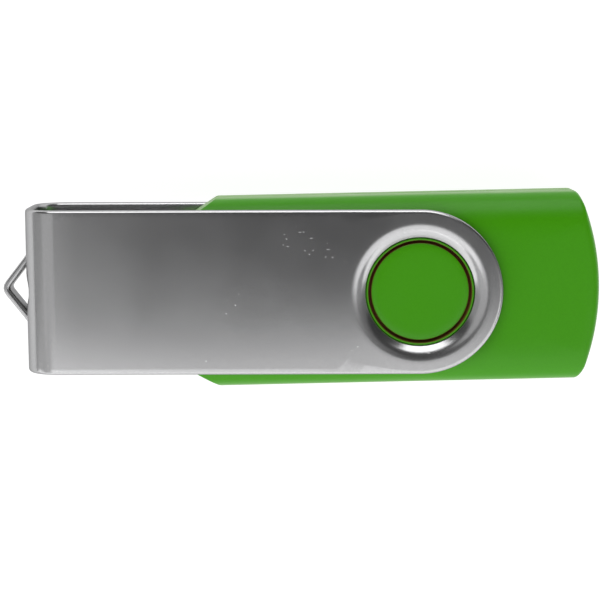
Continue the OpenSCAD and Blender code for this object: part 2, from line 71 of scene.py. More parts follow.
class ClipSettings(bpy.types.PropertyGroup):
    """Sizes and finish of the metal clip."""

    turn: bpy.props.FloatProperty(
        name="Turn", description="Angle the clip is left at, seen from above",
        default=math.radians(-1.1), subtype="ANGLE")
    width: bpy.props.FloatProperty(
        name="Width", description="Width of the clip", default=16.6 * MM, unit="LENGTH")
    sheet: bpy.props.FloatProperty(
        name="Sheet", description="Thickness of the sheet metal", default=0.7 * MM, unit="LENGTH")
    reach: bpy.props.FloatProperty(
        name="Reach", description="From the swivel axis to the closed end",
        default=39.7 * MM, unit="LENGTH")
    bend: bpy.props.FloatProperty(
        name="Bend", description="Outer radius of the two bends", default=3.3 * MM, unit="LENGTH")
    hole: bpy.props.FloatProperty(
        name="Hole", description="Radius of the hole in each arm", default=5.44 * MM, unit="LENGTH")
    dish: bpy.props.FloatProperty(
        name="Dish", description="Radius at which the arm rolls down into the hole",
        default=7 * MM, unit="LENGTH")
    dish_slope: bpy.props.FloatProperty(
        name="Dish slope", description="Slope of the dish's side",
        default=math.radians(40), subtype="ANGLE")
    dish_rim: bpy.props.FloatProperty(
        name="Dish rim", description="Radius of the roll from the arm to the dish's side",
        default=2 * MM, unit="LENGTH")
    crown: bpy.props.FloatProperty(
        name="Bow", description="Drop of each arm's long edges below its middle",
        default=0.18 * MM, unit="LENGTH")
    edge: bpy.props.FloatProperty(
        name="Edge", description="Rounding of the sheet's edges", default=0.32 * MM, unit="LENGTH")
    colour: bpy.props.FloatVectorProperty(
        name="Colour", description="Colour of the bare metal", default=(0.46, 0.46, 0.465),
        min=0, max=1, subtype="COLOR")
    roughness: bpy.props.FloatProperty(
        name="Roughness", description="Roughness of the blasted faces", default=0.24, min=0, max=1)


class LoopSettings(bpy.types.PropertyGroup):
    """Sizes of the key loop lanced from the clip's closed end."""

    reach: bpy.props.FloatProperty(
        name="Reach", description="How far the loop stands out", default=2.6 * MM, unit="LENGTH")
    half_span: bpy.props.FloatProperty(
        name="Half span", description="Half the distance between the loop's roots",
        default=3.7 * MM, unit="LENGTH")
    half_width: bpy.props.FloatProperty(
        name="Half width", description="Half the width of the loop's strip",
        default=1.3 * MM, unit="LENGTH")
    tip: bpy.props.FloatProperty(
        name="Tip", description="Outer radius of the loop's tip", default=1.1 * MM, unit="LENGTH")
    flare: bpy.props.FloatProperty(
        name="Flare", description="Radius of the flare at each root",
        default=1.8 * MM, unit="LENGTH")
    shear: bpy.props.FloatProperty(
        name="Shear", description="Gap along each side of the strip",
        default=0.1 * MM, unit="LENGTH")
    bow: bpy.props.FloatProperty(
        name="Bow", description="How far the slot's upper edge bows up, in the middle",
        default=2.2 * MM, unit="LENGTH")
    bow_half_span: bpy.props.FloatProperty(
        name="Bow half span", description="Half the length of that bow",
        default=2.2 * MM, unit="LENGTH")


class HousingSettings(bpy.types.PropertyGroup):
    """Sizes and finish of the plastic housing."""

    width: bpy.props.FloatProperty(
        name="Width", description="Width of the housing", default=19.2 * MM, unit="LENGTH")
    height: bpy.props.FloatProperty(
        name="Height", description="Thickness of both halves together",
        default=8.8 * MM, unit="LENGTH")
    wall: bpy.props.FloatProperty(
        name="Wall", description="Thickness of the walls", default=1.2 * MM, unit="LENGTH")
    side_round: bpy.props.FloatProperty(
        name="Side rounding", description="Radius along the long edges",
        default=2.6 * MM, unit="LENGTH")
    side_spread: bpy.props.FloatProperty(
        name="Side spread", description="Width over which the long edges round off",
        default=3.8 * MM, unit="LENGTH")
    tail_edge: bpy.props.FloatProperty(
        name="Tail edge", description="Radius along the tail's edges",
        default=0.9 * MM, unit="LENGTH")
    tail_reach: bpy.props.FloatProperty(
        name="Tail reach", description="From the swivel axis to the tail",
        default=18.1 * MM, unit="LENGTH")
    tail_radius: bpy.props.FloatProperty(
        name="Tail radius", description="Radius of the curved tail", default=24 * MM, unit="LENGTH")
    tail_corner: bpy.props.FloatProperty(
        name="Tail corner", description="Radius of the tail's corners",
        default=0.6 * MM, unit="LENGTH")
    mouth_reach: bpy.props.FloatProperty(
        name="Mouth reach", description="From the swivel axis to the mouth",
        default=24.5 * MM, unit="LENGTH")
    mouth_width: bpy.props.FloatProperty(
        name="Mouth width", description="Width of the flat mouth", default=13.6 * MM, unit="LENGTH")
    mouth_taper: bpy.props.FloatProperty(
        name="Mouth taper", description="Length over which the housing narrows",
        default=4.2 * MM, unit="LENGTH")
    boss: bpy.props.FloatProperty(
        name="Boss", description="Radius of the boss's face", default=4.9 * MM, unit="LENGTH")
    neck: bpy.props.FloatProperty(
        name="Neck", description="Outer radius of the collar that the clip turns on",
        default=5.4 * MM, unit="LENGTH")
    collar_inner: bpy.props.FloatProperty(
        name="Collar inside", description="Inner radius of that collar",
        default=5.2 * MM, unit="LENGTH")
    collar_top: bpy.props.FloatProperty(
        name="Collar top", description="Height of the collar above the parting plane",
        default=4.75 * MM, unit="LENGTH")
    boss_top: bpy.props.FloatProperty(
        name="Boss top", description="Height of the boss's face above the parting plane",
        default=4.65 * MM, unit="LENGTH")
    colour: bpy.props.FloatVectorProperty(
        name="Colour", description="Colour of the plastic", default=(0.053, 0.313, 0.001),
        min=0, max=1, subtype="COLOR")
    roughness: bpy.props.FloatProperty(
        name="Roughness", description="Roughness of the moulded face", default=0.33, min=0, max=1)


class StageSettings(bpy.types.PropertyGroup):
    """Camera and light."""

    lens: bpy.props.FloatProperty(
        name="Lens", description="Focal length in millimetres on a 36 mm sensor", default=100)
    distance: bpy.props.FloatProperty(
        name="Distance", description="From the camera to the clip's face",
        default=166 * MM, unit="LENGTH")
    tilt: bpy.props.FloatProperty(
        name="Tilt", description="Lean of the camera towards +Y from straight above",
        default=math.radians(8.1), subtype="ANGLE")
    roll: bpy.props.FloatProperty(
        name="Roll", description="Turn of the camera about its own axis",
        default=math.radians(-1.28), subtype="ANGLE")
    aim_x: bpy.props.FloatProperty(
        name="Aim X", description="Point the camera aims at, from the swivel axis",
        default=-12.04 * MM, unit="LENGTH")
    aim_y: bpy.props.FloatProperty(
        name="Aim Y", description="Point the camera aims at, from the swivel axis",
        default=-0.44 * MM, unit="LENGTH")


# -------------------- surfaces


def grid_faces(rows, cols, closed=False):
    """Quads of a grid of rows by cols points. A closed grid joins its last column to its first."""
    r, c = np.meshgrid(np.arange(rows - 1), np.arange(cols if closed else cols - 1), indexing="ij")
    right = (c + 1) % cols
    start, following = r * cols, (r + 1) * cols
    quads = np.stack([start + c, start + right, following + right, following + c], -1)
    return quads.reshape(-1, 4)


def pole_faces(ring, pole):
    """Triangles that join a closed ring of point numbers to one pole."""
    return np.stack([ring, np.roll(ring, -1), np.full(len(ring), pole)], -1)


class Surface:
    """Points and faces gathered from several grids."""

    def __init__(self):
        self.points = []
        self.faces = []
        self.count = 0

    def add(self, points, faces):
        """Adds points and the faces that number them from 0. Returns the first point's number."""
        start = self.count
        points = np.asarray(points).reshape(-1, 3)
        self.points.append(points)
        self.faces += (np.asarray(faces) + start).tolist()
        self.count += len(points)
        return start

    def mesh(self, name, centre=None, axes=None):
        """The merged mesh of the points in use, shaded smooth, with its faces turned outwards.

        An open mesh gives a centre, and its faces point away from it as measured along the axes.
        """
        used, corners = np.unique(np.concatenate(self.faces), return_inverse=True)
        ends = np.cumsum([len(face) for face in self.faces])[:-1]
        mesh = bpy.data.meshes.new(name)
        mesh.from_pydata(np.concatenate(self.points)[used].tolist(), [], np.split(corners, ends))
        bm = bmesh.new()
        bm.from_mesh(mesh)
        bmesh.ops.remove_doubles(bm, verts=bm.verts, dist=MERGE)
        bmesh.ops.recalc_face_normals(bm, faces=bm.faces)
        bm.to_mesh(mesh)
        bm.free()
        mesh.validate()
        if centre is not None:
            centres, normals = np.empty((2, len(mesh.polygons), 3), np.float32)
            mesh.polygons.foreach_get("center", centres.ravel())
            mesh.polygons.foreach_get("normal", normals.ravel())
            if ((centres - centre) * normals)[:, axes].sum() < 0:
                mesh.flip_normals()
        mesh.shade_smooth()
        return mesh


def show_piece(name, mesh, body, nodes, material):
    """Adds a finished mesh as a piece that rides on a body and stands for CAD nodes."""
    piece = bpy.data.objects.new(name, mesh)
    bpy.context.scene.collection.objects.link(piece)
    mesh.materials.append(material)
    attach(piece, body)
    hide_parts(*nodes)
    return piece


def add_modifier(piece, kind, **values):
    """Adds a modifier with the given values."""
    modifier = piece.modifiers.new(kind.title(), kind)
    for key, value in values.items():
        setattr(modifier, key, value)


def make_sheet(piece, thickness, edge, clamp):
    """Thickens an open face inwards into sheet metal and rounds the sheet's edges."""
    add_modifier(piece, "SOLIDIFY", thickness=thickness, offset=-1, use_even_offset=True)
    add_modifier(piece, "BEVEL", width=edge, segments=3, limit_method="ANGLE",
                 angle_limit=math.radians(50), use_clamp_overlap=clamp)


def shade_by_area(piece):
    """Lets large faces set the shading, so that flats beside small roundings look flat."""
    add_modifier(piece, "WEIGHTED_NORMAL", weight=60)


def turned_about_swivel(points, angle):
    """Points in the swivel frame, turned about Z and moved to the drive's own frame."""
    c, s = math.cos(angle), math.sin(angle)
    turn = np.array([[c, -s, 0], [s, c, 0], [0, 0, 1]])
    return np.asarray(points) @ turn.T + SWIVEL


# -------------------- clip surface


# Steps round each hub and along half of its straight side, and rows of each arm and bend
HUB_STEPS = 144
HALF_SIDE_STEPS = HUB_STEPS // 8
ARM_ROWS, BEND_ROWS = 14, 11
# The rounding at the bottom of the dish and the heights of the hole's upright wall
LIP = 0.25 * MM
HOLE_WALL = (4.0 * MM, 4.3 * MM)
# The slots reach this far past the loop's span, and their last column slides by this share
SLOT_EXTRA = 0.46 * MM
SLOT_SLIDE = 0.86


def dish_profile(clip, top):
    """Radius and height of the dish around the hole, from its bottom outwards.

    It is an upright wall, a small arc that rolls over to the slope, the straight slope and a
    wide arc that rolls out to the flat arm.
    """
    slope = clip.dish_slope
    lip_turn = np.linspace(math.pi / 2, slope, 7)
    rim_turn = np.linspace(slope, 0, 12)
    lip_r = clip.hole + LIP * (1 - np.sin(lip_turn))
    rim_r = clip.dish - clip.dish_rim * np.sin(rim_turn)
    rim_z = top - clip.dish_rim * (1 - np.cos(rim_turn))
    run = rim_r[0] - lip_r[-1]
    middle = np.array([0.33, 0.67])
    slope_z = rim_z[0] - run * math.tan(slope) * (1 - middle)
    lip_z = rim_z[0] - run * math.tan(slope) - LIP * (math.cos(slope) - np.cos(lip_turn))
    return (np.concatenate([[clip.hole, clip.hole], lip_r, lip_r[-1] + run * middle, rim_r]),
            np.concatenate([HOLE_WALL, lip_z, slope_z, rim_z]))


def hub_surface(clip, top):
    """The end of one arm: rings about the hole, then straight rays out to the arm's outline.

    The outline is a half circle on the free side and a square on the side of the arm.
    """
    half = clip.width / 2
    angle = np.arange(HUB_STEPS) * 2 * math.pi / HUB_STEPS
    ring_r, ring_z = dish_profile(clip, top)
    square = half / np.maximum(np.abs(np.sin(angle)), np.abs(np.cos(angle)))
    outline = np.where(np.cos(angle) >= -SLACK, half, square)
    inner = clip.dish + 0.35 * MM
    shares = np.array([0, 0.55, 1])[:, None]
    outer = inner + (outline - inner) * shares
    radius = np.concatenate([np.repeat(ring_r[:, None], HUB_STEPS, 1), outer])
    height = np.concatenate([np.repeat(ring_z[:, None], HUB_STEPS, 1), np.full(outer.shape, top)])
    points = np.stack([radius * np.cos(angle), radius * np.sin(angle), height], -1)
    return points, grid_faces(len(points), HUB_STEPS, closed=True)


def loop_height(y, loop):
    """How far the loop's outer face stands out at y: a round tip, straight legs, flared roots."""
    centre = loop.reach - loop.tip
    to_root = math.atan2(loop.half_span, centre)
    turn = to_root + math.acos(loop.tip / math.hypot(centre, loop.half_span))
    tip_y = loop.tip * math.sin(turn)
    slope = (centre - loop.tip * math.cos(turn)) / (loop.half_span - tip_y)
    lean = math.atan(slope)
    start = loop.half_span + loop.flare * math.tan(lean / 2)
    end = loop.half_span - loop.flare * math.tan(lean / 2) * math.cos(lean)
    y = np.abs(y)
    tip = centre + np.sqrt(np.maximum(loop.tip ** 2 - y ** 2, 0))
    leg = slope * (loop.half_span - y)
    root = loop.flare - np.sqrt(np.maximum(loop.flare ** 2 - (start - y) ** 2, 0))
    return np.select([y <= tip_y, y <= end, y < start], [tip, leg, root], 0)


def side_place(clip, top, run):
    """X and height at a run along the clip's outline, from the start of the upper bend.

    It is straight on the arm, where the run is negative, then a quarter circle, then straight down.
    """
    turn = np.clip(run / clip.bend, 0, math.pi / 2)
    x = clip.bend - clip.reach - np.minimum(run, 0) - clip.bend * np.sin(turn)
    z = top - clip.bend + clip.bend * np.cos(turn) - np.maximum(run - clip.bend * math.pi / 2, 0)
    return x, z


def clip_surface(clip, loop):
    """The clip's outer face as one open surface: two hubs, two arms, two bends and the lanced end.

    Rows run along the outline that side_place gives, and columns carry on from the hub's rays.
    The loop's strip is cut free along two slots and pushed out by loop_height. The
    upper slot's edge is drawn up by a parabola, and each arm drops off as the square of y.
    """
    surface = Surface()
    top = SWIVEL[2]
    half = clip.width / 2
    points, faces = hub_surface(clip, top)
    surface.add(points, faces)
    surface.add(points * [1, 1, -1], faces)

    # The arms and the closed end are one long grid, with the hub's columns
    columns = half * np.tan(np.linspace(-math.pi / 4, math.pi / 4, 2 * HALF_SIDE_STEPS + 1))
    strip = loop.half_width
    bend_run = clip.bend * math.pi / 2
    slot_run = bend_run + top - clip.bend - strip
    side_run = np.concatenate([
        np.linspace(clip.bend - clip.reach + half, 0, ARM_ROWS),
        bend_run * np.linspace(0, 1, BEND_ROWS)[1:],
        [slot_run, slot_run + 0.4 * strip, slot_run + strip]])
    opened = np.abs(columns) < loop.half_span + SLOT_EXTRA
    # Each slot's last column slides out to just short of the next one, so the slot ends square
    first, last = np.flatnonzero(opened)[[0, -1]]
    slide = np.zeros(len(columns))
    slide[[first, last]] = columns[[first - 1, last + 1]] - columns[[first, last]]
    slide *= SLOT_SLIDE
    # The rows down to the slot are drawn up where the slot's edge is bowed
    bow = loop.bow * np.maximum(1 - (columns / loop.bow_half_span) ** 2, 0)
    gap = loop.shear * opened
    to_slot = np.clip(side_run / slot_run, 0, 1)
    pull = ((to_slot * (side_run <= slot_run)) ** 2)[:, None]
    upper_x, upper_z = side_place(clip, top, side_run[:, None] - (bow + gap) * pull)
    lower_x, lower_z = side_place(clip, top, side_run[:, None] - gap * pull)
    side_z = side_place(clip, top, side_run)[1]
    side_z = np.concatenate([side_z, -side_z[-2::-1]])
    x = np.concatenate([upper_x, lower_x[-2::-1]])
    z = np.concatenate([upper_z, -lower_z[-2::-1]])
    y = columns + np.concatenate([to_slot, to_slot[-2::-1]])[:, None] * slide
    rows, cols = x.shape
    faces = grid_faces(rows, cols)
    row, col = np.divmod(faces[:, 0], cols)
    row_in = np.abs(side_z) <= strip + SLACK
    in_strip = row_in[row] & row_in[row + 1]
    in_span = opened[col] | opened[col + 1]
    surface.add(np.stack([x, y, z], -1), faces[~(in_strip & in_span)])

    # The strip of the loop keeps the grid's places, pushed out of the wall
    y, z = np.meshgrid((columns + slide)[first - 1:last + 2], side_z[row_in])
    x = -clip.reach - loop_height(y, loop)
    surface.add(np.stack([x, y, z], -1), grid_faces(*x.shape))
    for points in surface.points:
        points[:, 2] *= 1 - clip.crown / top * (points[:, 1] / half) ** 2
    surface.points = [turned_about_swivel(points, clip.turn) for points in surface.points]
    return surface


# -------------------- housing surface


# Chamfer of the parting line and the collar, rounding of the mouth and of the two outlines
CHAMFER = 0.06 * MM
MOUTH_EDGE = 0.25 * MM
OUTER_ARC, INNER_ARC = 0.35 * MM, 0.1 * MM
# The side's rounding ends at FLAT_FROM from the middle line, just outside the recess
FLAT_FROM = 7.2 * MM
RECESS_RADIUS, RECESS_FLOOR = 7.15 * MM, 3.65 * MM
# Width and depth of the rounding round the boss's face
BOSS_ROLL, BOSS_DROP = 0.9 * MM, 0.16 * MM
# Columns from the plug's notch to the middle of the mouth, and the rows of the notch's top edge
NOTCH_STEPS = 7
INNER_NOTCH_ROW, OUTER_NOTCH_ROW = 2, 4


def arc_points(centre_x, centre_y, radius, start, end, count):
    """Arcs about (centre_x, centre_y), one row for each value, with angles from start to end."""
    share = np.linspace(0, 1, count)[None]
    angle = start + (end - start) * share
    return np.stack([centre_x + radius * np.cos(angle), centre_y + radius * np.sin(angle)], -1)


def line_points(start, end, count):
    """Points strictly between two rows of points, at even angles about the swivel axis."""
    a, b = start[:, None], end[:, None]
    share = (np.arange(count) + 1)[None] / (count + 1)
    from_angle = np.arctan2(a[..., 1], a[..., 0])
    to_angle = np.arctan2(b[..., 1], b[..., 0])
    angle = from_angle + (to_angle - from_angle) * share
    ray = np.stack([np.cos(angle), np.sin(angle)], -1)
    edge = b - a
    normal = np.stack([edge[..., 1], -edge[..., 0]], -1)
    return ray * ((a * normal).sum(-1) / (ray * normal).sum(-1))[..., None]


def housing_outlines(h, side, tail, mouth, small):
    """Outlines of the housing from above, one for each inset of its sides, tail and mouth.

    Each is, from the middle of the tail: the tail's arc, a corner arc, the straight side, a small
    arc where the side starts to narrow, the narrowed side, a small arc at the mouth and the mouth.
    small is the radius of the small arcs.
    """
    side, tail, mouth = (np.asarray(v, float)[:, None] for v in (side, tail, mouth))
    taper = math.atan2((h.width - h.mouth_width) / 2, h.mouth_taper)
    half = h.width / 2 - side
    arc = h.tail_radius - tail
    centre = h.tail_reach - h.tail_radius
    corner = h.tail_corner
    corner_x = centre + np.sqrt((arc - corner) ** 2 - (half - corner) ** 2)
    theta = np.arcsin((half - corner) / (arc - corner))
    tail_arc = arc_points(centre, 0, arc, 0 * theta, theta, 16)
    corner_arc = arc_points(corner_x, half - corner, corner, theta, math.pi / 2 + 0 * theta, 9)
    sine, cosine = math.sin(taper), math.cos(taper)
    full = h.width / 2
    shoulder_x = h.mouth_taper - h.mouth_reach
    # A point (x, y) on the narrowed side has (y - full) cos - (x - shoulder_x) sin = -mouth
    level = half - small
    shoulder_cx = shoulder_x + ((level - full) * cosine + mouth + small) / sine
    shoulder_arc = arc_points(shoulder_cx, level, small, math.pi / 2, math.pi / 2 + taper, 5)
    mouth_cx = mouth + small - h.mouth_reach
    mouth_cy = full + ((mouth_cx - shoulder_x) * sine - mouth - small) / cosine
    mouth_arc = arc_points(mouth_cx, mouth_cy, small, math.pi / 2 + taper, math.pi, 5)
    side_line = line_points(corner_arc[:, -1], shoulder_arc[:, 0], 44)
    taper_line = line_points(shoulder_arc[:, -1], mouth_arc[:, 0], 3)
    return tail_arc, corner_arc, side_line, shoulder_arc, taper_line, mouth_arc


def closed_outline(parts, notch):
    """Joins the parts of each half outline, adds the mouth from y = notch in, and mirrors it.

    Returns the outlines and the number of the column on the middle line of the mouth.
    """
    y = np.linspace(notch, 0, NOTCH_STEPS + 1)
    mouth_x = np.repeat(parts[-1][:, -1, :1], len(y), 1)
    mouth = np.stack([mouth_x, np.broadcast_to(y, mouth_x.shape)], -1)
    half = np.concatenate([*parts, mouth], 1)
    mirrored = half[:, -2:0:-1] * [1, -1]
    return np.concatenate([half, mirrored], 1), half.shape[1] - 1


def rounded_inset(z, top, radius):
    """How far a rounding of this radius, which ends at the height top, has drawn in at z."""
    return radius - np.sqrt(radius ** 2 - np.maximum(z - (top - radius), 0) ** 2)


def raised(outlines, z):
    """Outlines with the height of each as a third coordinate."""
    return np.concatenate([outlines, np.repeat(z[:, None, None], outlines.shape[1], 1)], -1)


def housing_surface(h, plug_half_width, plug_half_height):
    """One half of the housing, seen as the upper one: a closed shell with its boss and mouth.

    Outlines rise from the parting plane while the sides draw in as a quarter ellipse and the tail
    and mouth as quarter circles. Straight rays then run in to the recess, and circles form the
    recess, collar, groove and boss. Inner outlines, one wall further in, close the shell.
    """
    half = h.height / 2
    round_start = half - h.side_round
    notch_turn = math.asin((plug_half_height - round_start) / h.side_round)
    last_turn = math.acos(1 - (h.width / 2 - FLAT_FROM) / h.side_spread)
    turn = np.linspace(notch_turn, last_turn, 16)
    z = np.concatenate([[0, CHAMFER, 0.6 * MM, round_start],
                        round_start + h.side_round * np.sin(turn)])
    side = np.concatenate([[CHAMFER, 0, 0, 0], h.side_spread * (1 - np.cos(turn))])
    tail, mouth = rounded_inset(z, half, h.tail_edge), rounded_inset(z, half, MOUTH_EDGE)
    tail[0] = mouth[0] = CHAMFER
    outlines = housing_outlines(h, side, tail, mouth, OUTER_ARC)
    outer, mouth_middle = closed_outline(outlines, plug_half_width)
    outer = raised(outer, z)
    cols = outer.shape[1]

    # The face, from the last outline in to the recess
    ring_angle = np.arctan2(outer[-1, :, 1], outer[-1, :, 0])
    ray = np.stack([np.cos(ring_angle), np.sin(ring_angle)], -1)
    share = np.array([0.02, 0.05, 0.1, 0.25, 0.5, 0.75, 0.98, 1])[:, None, None]
    flat = outer[-1, :, :2] * (1 - share) + ray * RECESS_RADIUS * share
    flat = np.concatenate([flat, face_height(h, flat)[..., None]], -1)
    # The recess, the collar that the clip turns on, the groove inside it and the boss's face
    turn = np.linspace(0, math.pi / 2, 8)
    profile = np.array([
        (RECESS_RADIUS - 0.1 * MM, half - 0.1 * MM), (RECESS_RADIUS - 0.12 * MM, RECESS_FLOOR),
        (h.neck, RECESS_FLOOR), (h.neck, h.collar_top - CHAMFER),
        (h.neck - CHAMFER, h.collar_top), (h.collar_inner + CHAMFER, h.collar_top),
        (h.collar_inner, h.collar_top - CHAMFER), (h.collar_inner, RECESS_FLOOR),
        (h.boss, RECESS_FLOOR),
        *zip(h.boss - BOSS_ROLL * (1 - np.cos(turn)), h.boss_top - BOSS_DROP * (1 - np.sin(turn))),
        (h.boss * 0.55, h.boss_top)])
    boss = raised(profile[:, :1, None] * ray, profile[:, 1])

    # Inner rows, from the parting plane up to the ceiling
    ceiling = half - h.wall
    inner_round = h.side_round - h.wall
    start = ceiling - inner_round
    notch_turn = math.asin((plug_half_height - start) / inner_round)
    turn = np.linspace(notch_turn, math.pi / 2 * 0.98, 8)
    inner_z = np.concatenate([[0, start], start + inner_round * np.sin(turn)])
    inner_side = h.wall + np.concatenate([[0, 0], inner_round * (1 - np.cos(turn))])
    same = np.full(len(inner_z), h.wall)
    outlines = housing_outlines(h, inner_side, same, same, INNER_ARC)
    inner = raised(closed_outline(outlines, plug_half_width)[0], inner_z)

    surface = Surface()
    grid = np.concatenate([inner[::-1], outer, flat, boss])
    faces = grid_faces(len(grid), cols, closed=True)
    # The notch for the plug takes out the mouth's faces below its top edge, in both walls
    row, col = np.divmod(faces[:, 0], cols)
    left, right = mouth_middle - NOTCH_STEPS, mouth_middle + NOTCH_STEPS
    inside = len(inner) - 1 - INNER_NOTCH_ROW
    outside = len(inner) + OUTER_NOTCH_ROW
    in_notch = (col >= left) & (col < right) & (row >= inside) & (row < outside)
    surface.add(grid, faces[~in_notch])
    # Faces from wall to wall close the notch's top and its two sides
    number = np.arange(len(grid) * cols).reshape(-1, cols)
    edges = number[[inside, outside], left:right + 1]
    across = [edges[0, :-1], edges[0, 1:], edges[1, 1:], edges[1, :-1]]
    surface.faces += np.stack(across, -1).tolist()
    surface.faces += [number[inside:outside + 1, column].tolist() for column in (left, right)]
    for ring, height in ((number[0], ceiling), (number[-1], h.boss_top)):
        pole = surface.add([[0, 0, height]], np.empty((0, 3), int))
        surface.faces += pole_faces(ring, pole).tolist()
    return surface


def face_height(h, xy):
    """Height of the face over (x, y): the lower of the side's and the tail's roundings."""
    half = h.height / 2
    past_side = np.maximum(np.abs(xy[..., 1]) / h.side_spread - h.width / 2 / h.side_spread + 1, 0)
    side = half - h.side_round + h.side_round * np.sqrt(1 - past_side ** 2)
    centre = h.tail_reach - h.tail_radius
    reach = np.hypot(xy[..., 0] - centre, xy[..., 1])
    past_tail = np.maximum(reach - (h.tail_radius - h.tail_edge), 0) * (xy[..., 0] > 0)
    tail = half - h.tail_edge + np.sqrt(np.maximum(h.tail_edge ** 2 - past_tail ** 2, 0))
    return np.minimum(side, tail)


# -------------------- plug surface


# Rounding along the plug, and its windows: their edges from the middle line, and along X
# their middle from the plug's front and half their length
PLUG_CORNER = 0.6 * MM
WINDOW_Y = (1.6 * MM, 4.1 * MM)
WINDOW_X, WINDOW_HALF = 5.16 * MM, 1 * MM
# The solder tabs at the rear: their length and half their height
TAB_LENGTH, TAB_HALF = 2.2 * MM, 0.9 * MM


def plug_surface(low, high):
    """The plug's outer face: a rounded box outline carried along X, open at its windows.

    The outline is four straight sides joined by quarter circles. Behind the box only the two
    tabs go on.
    """
    centre = (low + high) / 2
    half_y, half_z = (high - low)[1:] / 2
    level_y = np.array([0, 0.04 * MM, 0.5 * MM, WINDOW_Y[0], 2.4 * MM, 3.3 * MM, WINDOW_Y[1],
                        4.6 * MM, half_y - PLUG_CORNER])
    turn = np.linspace(0, math.pi / 2, 6)[1:]
    quarter_y = np.concatenate([level_y, half_y - PLUG_CORNER + PLUG_CORNER * np.sin(turn),
                                [half_y, half_y]])
    quarter_z = np.concatenate([np.full(len(level_y), half_z),
                                half_z - PLUG_CORNER + PLUG_CORNER * np.cos(turn), [TAB_HALF, 0]])
    right_y = np.concatenate([quarter_y, quarter_y[-2::-1]])
    right_z = np.concatenate([quarter_z, -quarter_z[-2::-1]])
    ring = np.stack([np.concatenate([right_y, -right_y[-2:0:-1]]),
                     np.concatenate([right_z, right_z[-2:0:-1]])], -1)
    rear = high[0] - TAB_LENGTH
    x = low[0] + np.array([0, 0.35, 2, 4.16, 4.6, 5.16, 5.7, 6.16, 8, 11, 14]) * MM
    x = np.concatenate([x, [rear - 0.4 * MM, rear, high[0] - 1 * MM, high[0]]])
    points = np.empty((len(x), len(ring), 3))
    points[..., 0] = x[:, None]
    points[..., 1:] = ring + centre[1:]
    faces = grid_faces(len(x), len(ring), closed=True)
    middle = points.reshape(-1, 3)[faces].mean(1) - [low[0], centre[1], centre[2]]
    from_y, from_z = np.abs(middle[:, 1]), np.abs(middle[:, 2])
    in_window = ((np.abs(middle[:, 0] - WINDOW_X) < WINDOW_HALF) & (from_z > half_z - SLACK)
                 & (from_y > WINDOW_Y[0]) & (from_y < WINDOW_Y[1]))
    on_tab = (from_y > half_y - SLACK) & (from_z < TAB_HALF)
    behind = middle[:, 0] > rear - low[0]
    surface = Surface()
    surface.add(points, faces[~in_window & (on_tab | ~behind)])
    return surface


# -------------------- materials


class Nodes:
    """A material's node tree, with short calls for adding and joining nodes."""

    def __init__(self, name):
        self.material = bpy.data.materials.new(name)
        self.material.use_nodes = True
        self.tree = self.material.node_tree
        self.shader = self.tree.nodes["Principled BSDF"]

    def set(self, **sockets):
        """Sets constants on the shader's own sockets."""
        for key, value in sockets.items():
            self.shader.inputs[key.replace("_", " ")].default_value = value

    def join(self, start, end):
        """Joins an output socket to an input socket."""
        self.tree.links.new(start, end)

    def add(self, kind, inputs=None, **values):
        """Adds a node, sets its values and inputs, and joins any input given as a socket."""
        node = self.tree.nodes.new("ShaderNode" + kind)
        for key, value in values.items():
            setattr(node, key, value)
        for key, value in (inputs or {}).items():
            if isinstance(value, bpy.types.NodeSocket):
                self.join(value, node.inputs[key])
            else:
                node.inputs[key].default_value = value
        return node

    def place(self, offset=(0, 0, 0), scale=(1, 1, 1), turn=0):
        """Object coordinates in millimetres from the point offset, stretched by scale."""
        coords = self.add("TexCoord")
        size = [s / MM for s in scale]
        return self.add("Mapping", {
            "Vector": coords.outputs["Object"], "Scale": size, "Rotation": (0, 0, turn),
            "Location": [-o * s for o, s in zip(offset, size)]}).outputs["Vector"]

    def noise(self, vector, scale, detail, roughness=0.5):
        """Noise with features of about 1 / scale millimetres."""
        return self.add("TexNoise", {"Vector": vector, "Scale": scale, "Detail": detail,
                                     "Roughness": roughness}).outputs["Fac"]

    def voronoi(self, vector, scale, randomness=1.0, **values):
        """The distance output of Voronoi cells of about 1 / scale millimetres."""
        return self.add("TexVoronoi", {"Vector": vector, "Scale": scale, "Randomness": randomness},
                        **values).outputs["Distance"]

    def ramp(self, value, low, high, out_low, out_high):
        """Maps low to high onto out_low to out_high, smoothly, and holds the value outside."""
        node = self.add("MapRange", {"Value": value, "From Min": low, "From Max": high,
                                     "To Min": out_low, "To Max": out_high},
                        interpolation_type="SMOOTHSTEP")
        return node.outputs["Result"]

    def maths(self, operation, a, b):
        """The result of a sum on two values."""
        return self.add("Math", {0: a, 1: b}, operation=operation).outputs["Value"]

    def mix_colour(self, factor, a, b):
        """A colour between a and b."""
        node = self.add("Mix", data_type="RGBA")
        for key, value in (("Factor_Float", factor), ("A_Color", a), ("B_Color", b)):
            socket = next(s for s in node.inputs if s.identifier == key)
            if isinstance(value, bpy.types.NodeSocket):
                self.join(value, socket)
            else:
                socket.default_value = value if key == "Factor_Float" else (*value, 1)
        return next(s for s in node.outputs if s.identifier == "Result_Color")

    def bump(self, height, distance, normal=None):
        """A bump of distance millimetres times height, on top of another normal."""
        inputs = {"Height": height, "Distance": distance * MM, "Strength": 1.0}
        if normal is not None:
            inputs["Normal"] = normal
        return self.add("Bump", inputs).outputs["Normal"]

    def to(self, **sockets):
        """Joins outputs to the shader's sockets."""
        for key, value in sockets.items():
            self.join(value, self.shader.inputs[key.replace("_", " ")])


# Middle of the worn spot on the clip's upper arm, in millimetres from the swivel axis
WORN_SPOT = (-11.5, 5, 5.5)


